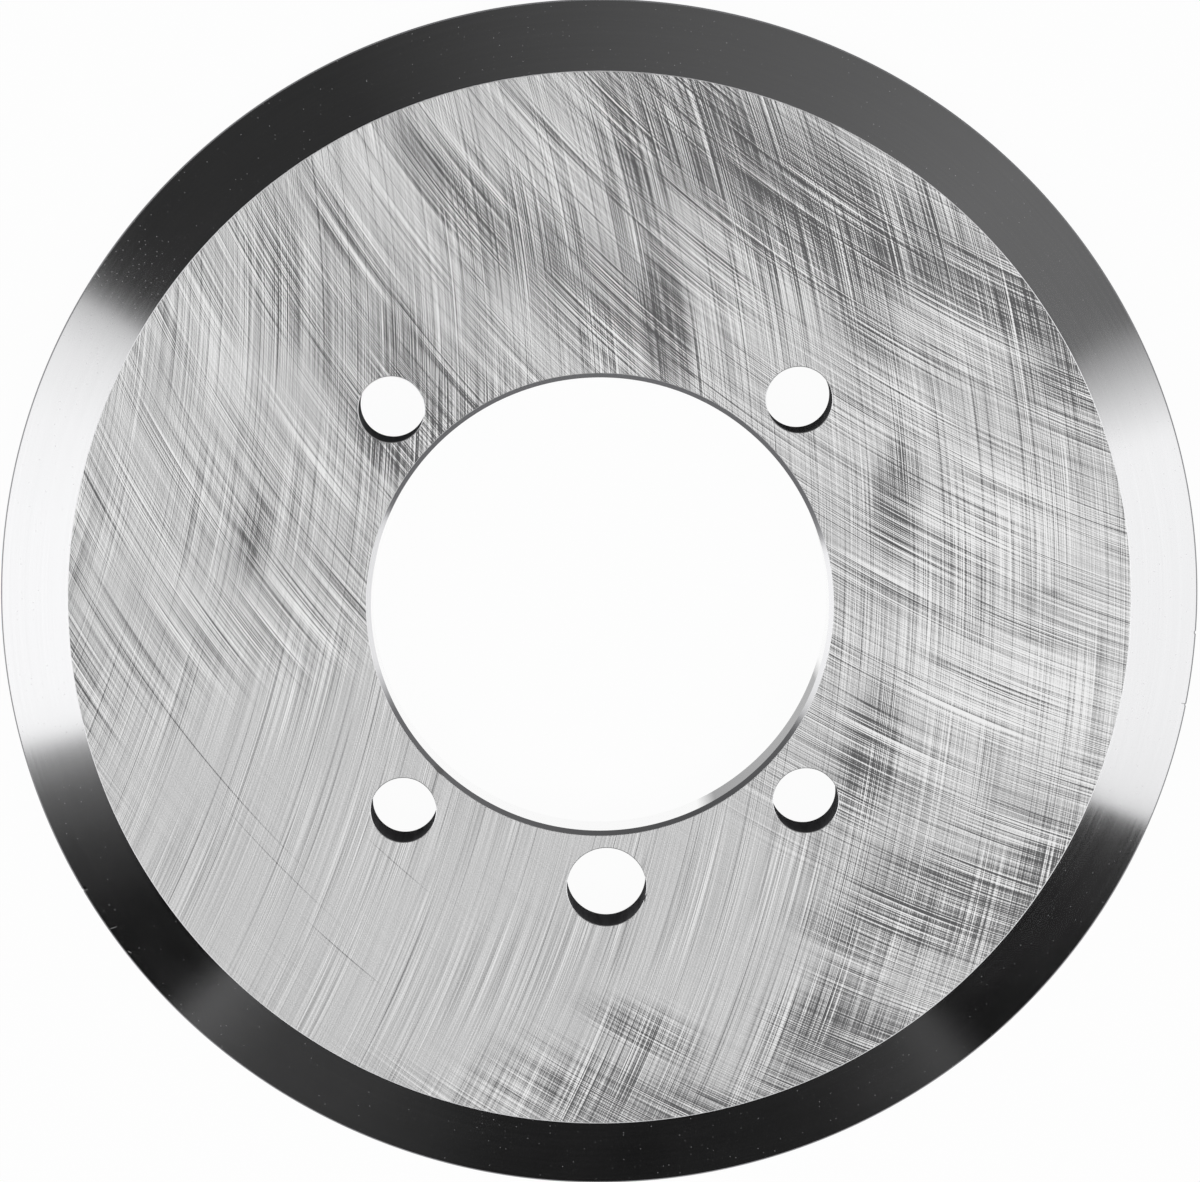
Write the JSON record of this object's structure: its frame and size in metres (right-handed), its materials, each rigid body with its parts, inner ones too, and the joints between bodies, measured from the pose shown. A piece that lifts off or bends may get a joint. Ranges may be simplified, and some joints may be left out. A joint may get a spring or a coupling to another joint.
{
  "type": "circular cutter wheel",
  "caption": "Flat ground-steel cutting disc with a bevelled rim, a large central bore, and bolt holes and a pin hole around it for clamping to a hub.",
  "frame": {"origin": "centre of the bore on the back face, which is the face the disc lies on", "axes": "+Z along the bore axis, out of the front face; -Y from the bore to the pin hole"},
  "size_m": [0.21, 0.21, 0.0095],
  "materials": {
    "ground_steel": "surface-ground faces with crossing arcs of grinding lines, smooth ground bevel, bare metal"
  },
  "bodies": {
    "root": {"knife_disc": "ground_steel"}
  },
  "joints": []
}
